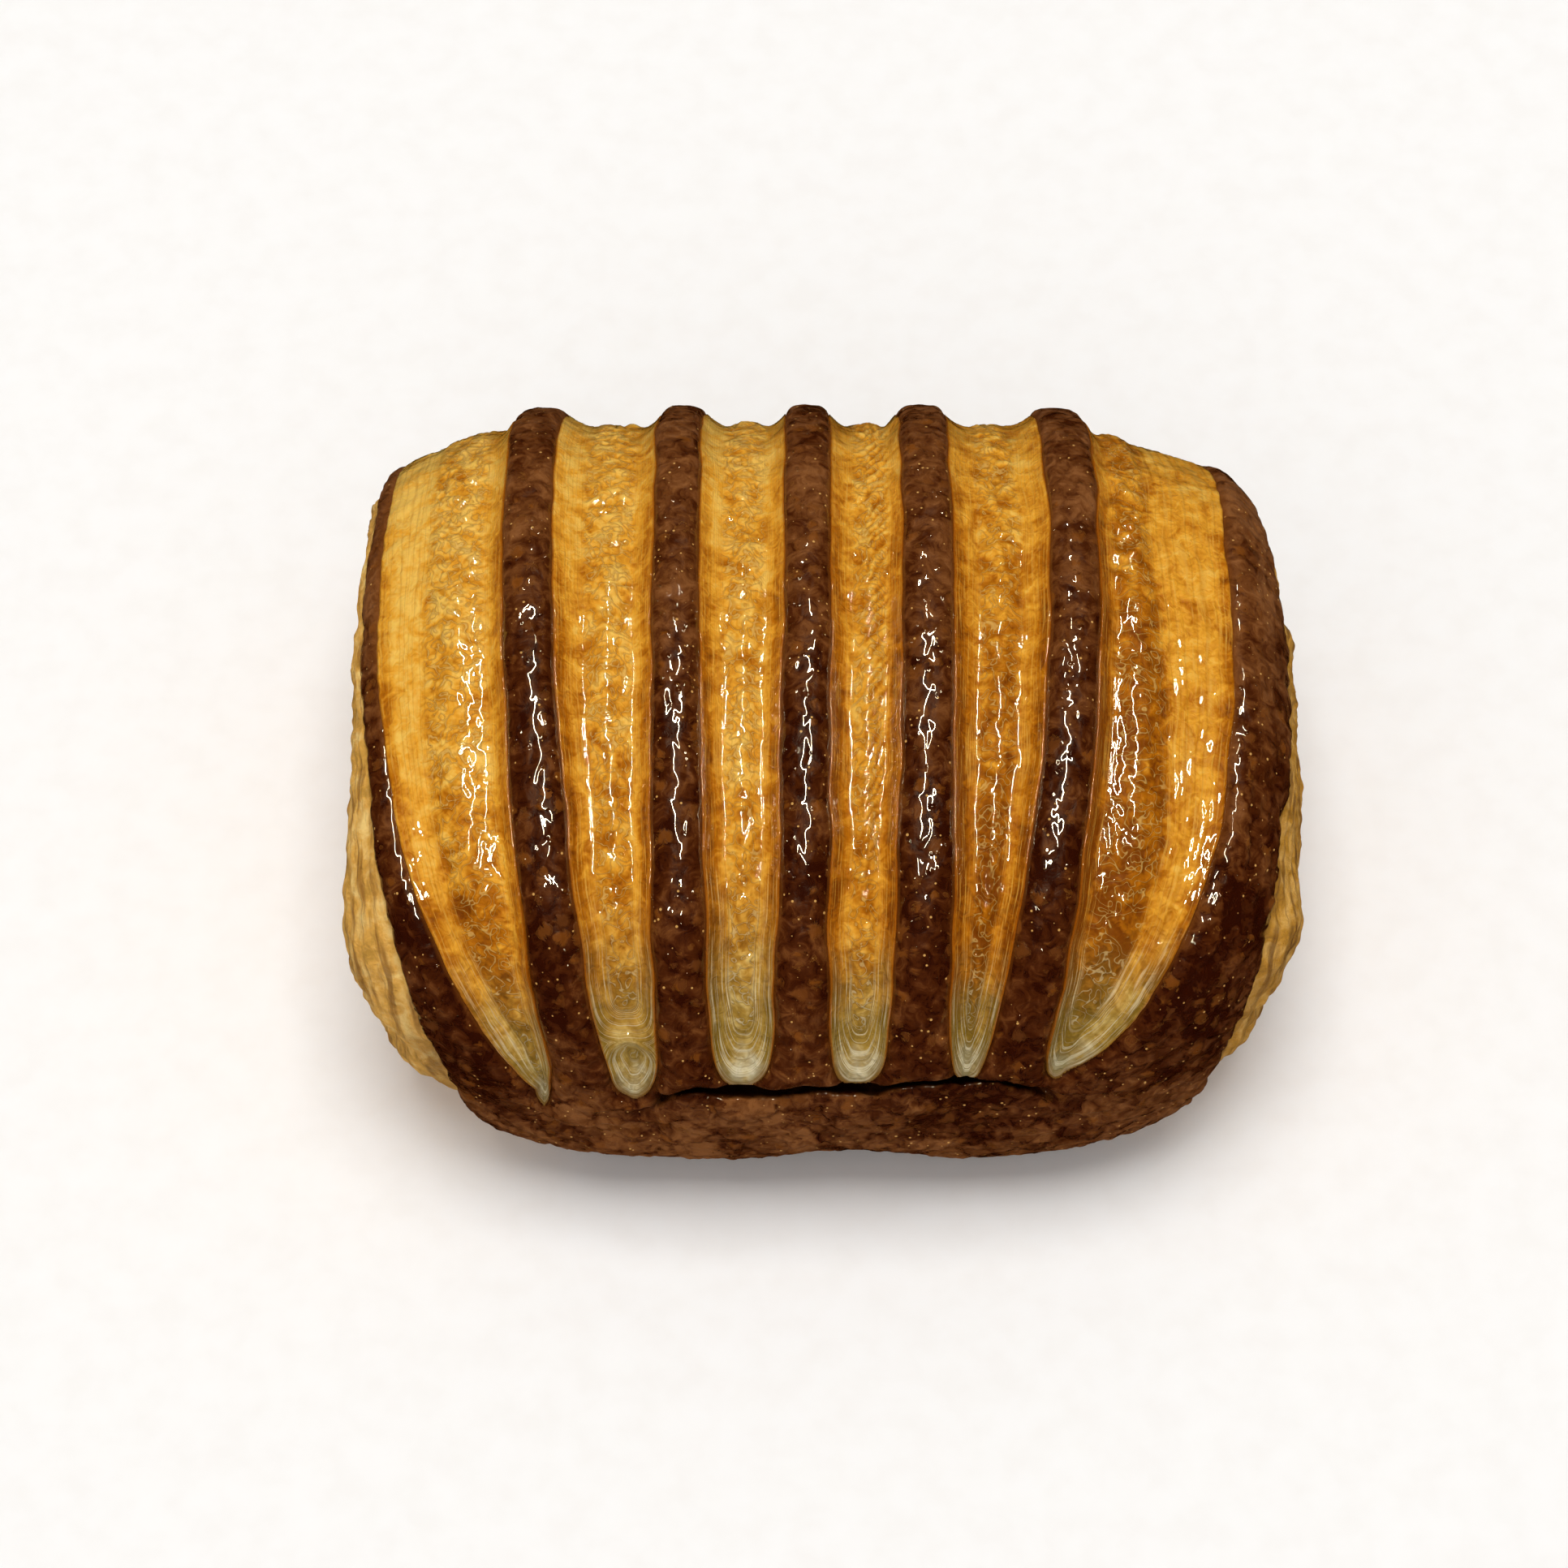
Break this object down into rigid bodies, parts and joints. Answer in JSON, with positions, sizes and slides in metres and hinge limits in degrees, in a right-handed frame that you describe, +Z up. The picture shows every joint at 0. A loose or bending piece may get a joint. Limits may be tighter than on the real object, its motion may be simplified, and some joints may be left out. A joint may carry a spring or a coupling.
{
  "type": "pain au chocolat",
  "caption": "Baked roll of laminated dough with slit dark chocolate ribs over golden strips, a crease above its tail, and layered spiral ends.",
  "frame": {"origin": "middle of the flat resting face, under the centre of the roll's box", "axes": "+X along the roll, -Y towards the front with the crease and the tail's lip, +Z up"},
  "size_m": [0.1, 0.083, 0.0506],
  "materials": {
    "chocolate_crust": "baked chocolate dough under a syrup glaze",
    "golden_crust": "baked golden dough under a syrup glaze",
    "layered_ends": "dry baked layers"
  },
  "bodies": {
    "root": {"pastry": "chocolate_crust"}
  },
  "joints": []
}
